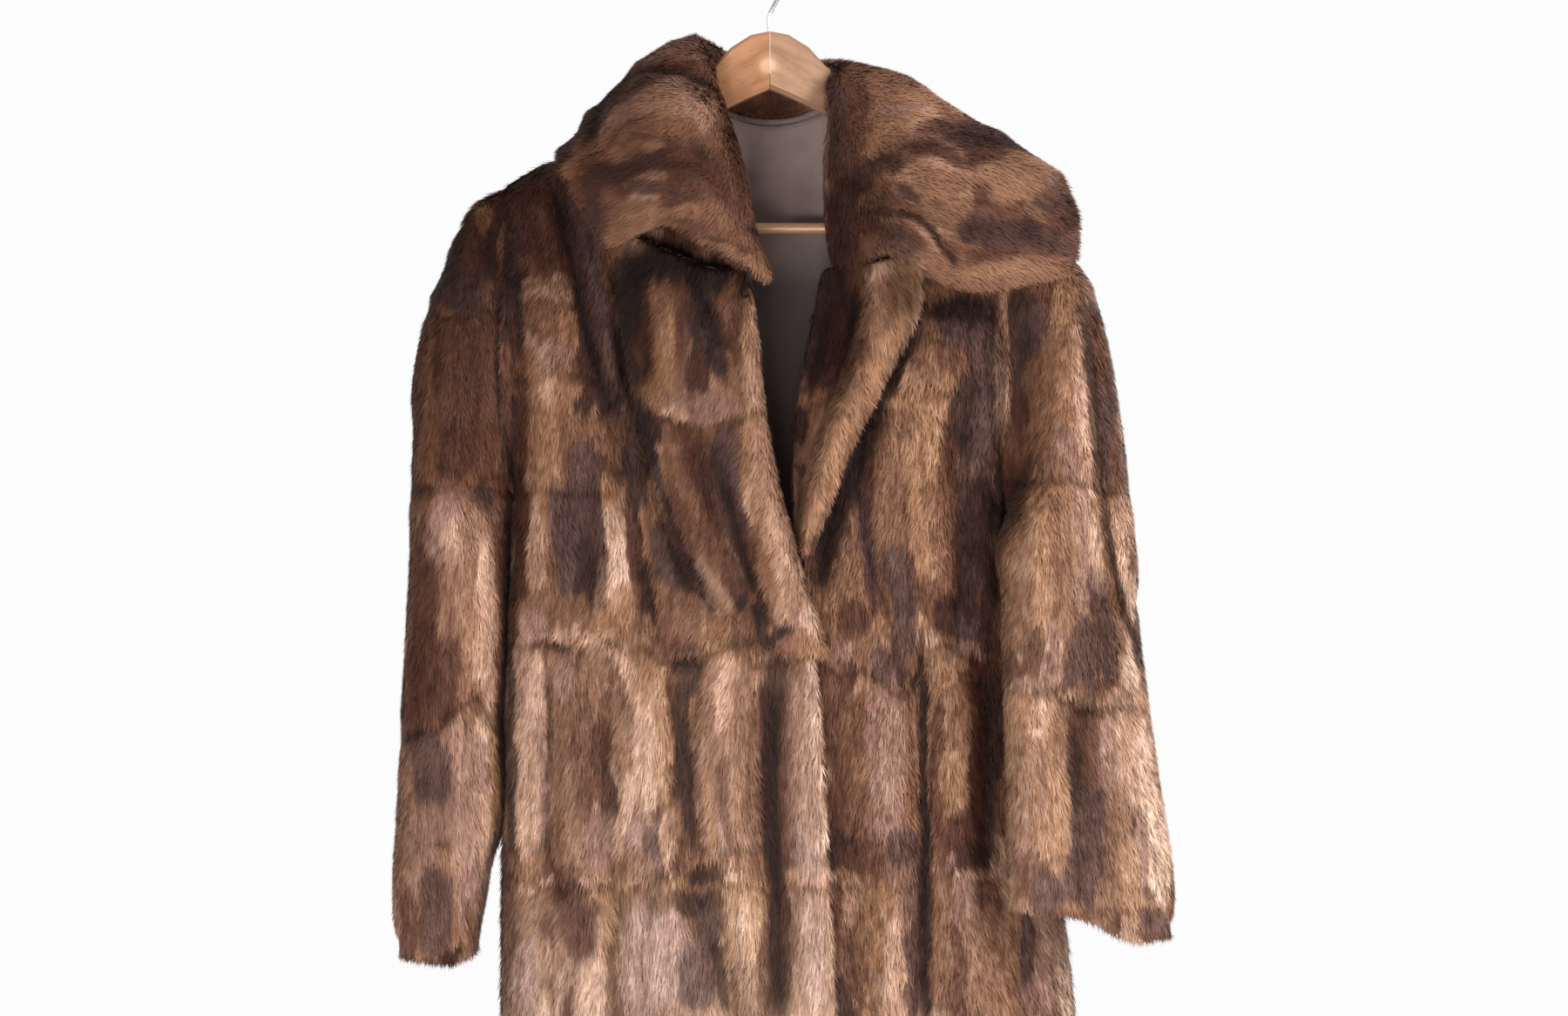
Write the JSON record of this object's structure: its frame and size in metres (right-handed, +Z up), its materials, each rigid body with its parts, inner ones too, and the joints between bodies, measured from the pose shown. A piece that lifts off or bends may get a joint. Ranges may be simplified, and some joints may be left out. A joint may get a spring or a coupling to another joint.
{
  "type": "fur coat on a hanger",
  "caption": "Long patchwork fur coat with a wide fall collar, turned-back lapels and wide sleeves, hanging open-necked on a wooden hanger.",
  "frame": {"origin": "the point inside the top of the hanger's hook that bears on the rail", "axes": "+Z up along the hanging line; the coat's front faces -Y; +X is towards the wearer's left"},
  "size_m": [0.626, 0.1897, 1.1686],
  "materials": {
    "fur": "short dense fur pile in streaked patches from honey to dark umber",
    "dark_fur": "short dense dark fur pile",
    "satin": "soft taupe lining satin",
    "beech": "clear satin lacquer",
    "steel": "bright wire"
  },
  "bodies": {
    "root": {"back": "fur", "front_right": "fur", "front_left": "fur", "sleeve_right": "fur", "sleeve_left": "fur", "collar": "fur", "lapel_right": "fur", "lapel_left": "fur", "cuff_right": "dark_fur", "cuff_left": "dark_fur", "lining_back": "satin", "hanger_arm_right": "beech", "hanger_arm_left": "beech", "trouser_bar": "beech", "hanger_hook": "steel", "fur_hook": "steel"}
  },
  "joints": []
}
